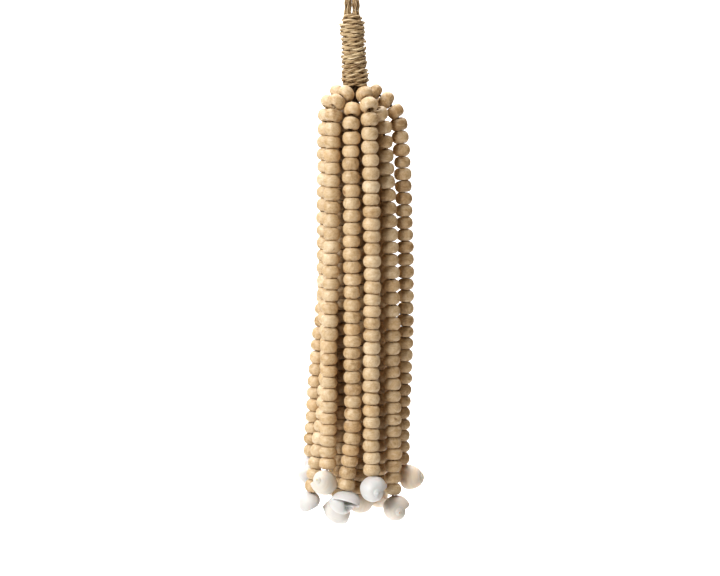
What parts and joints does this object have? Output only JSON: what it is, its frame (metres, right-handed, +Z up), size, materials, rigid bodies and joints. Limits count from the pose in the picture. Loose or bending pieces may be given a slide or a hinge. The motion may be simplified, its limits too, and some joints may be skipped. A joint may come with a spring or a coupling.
{
  "type": "beaded hanging tassel",
  "caption": "Hanging tassel: strings of turned wooden beads with a small snail shell at each end, a jute-whipped neck and a cord loop.",
  "frame": {"origin": "underside of the hanging loop's crown, where a hook bears", "axes": "+Z up along the hanging line, +X to the right as seen from the front, +Y away from the viewer; metres"},
  "size_m": [0.0867, 0.0716, 0.412],
  "materials": {
    "wood": "turned, unvarnished light wood with fine lathe lines",
    "jute": "natural two-ply jute twine and cord, dull and fibrous",
    "shell": "natural snail shell, white to cream, satin"
  },
  "bodies": {
    "root": {"hanging_loop": "jute", "neck_wrap": "jute", "bead_string_a": "wood", "bead_string_b": "wood", "bead_string_c": "wood", "bead_string_d": "wood", "bead_string_e": "wood", "bead_string_f": "wood", "bead_string_g": "wood", "bead_string_h": "wood", "bead_string_i": "wood", "bead_string_j": "wood", "bead_string_k": "wood", "bead_string_l": "wood", "bead_string_m": "wood", "bead_string_n": "wood", "shell_a": "shell", "shell_b": "shell", "shell_c": "shell", "shell_d": "shell", "shell_e": "shell", "shell_f": "shell", "shell_g": "shell", "shell_h": "shell", "shell_i": "shell", "shell_j": "shell", "shell_k": "shell", "shell_l": "shell", "shell_m": "shell", "shell_n": "shell"}
  },
  "joints": []
}
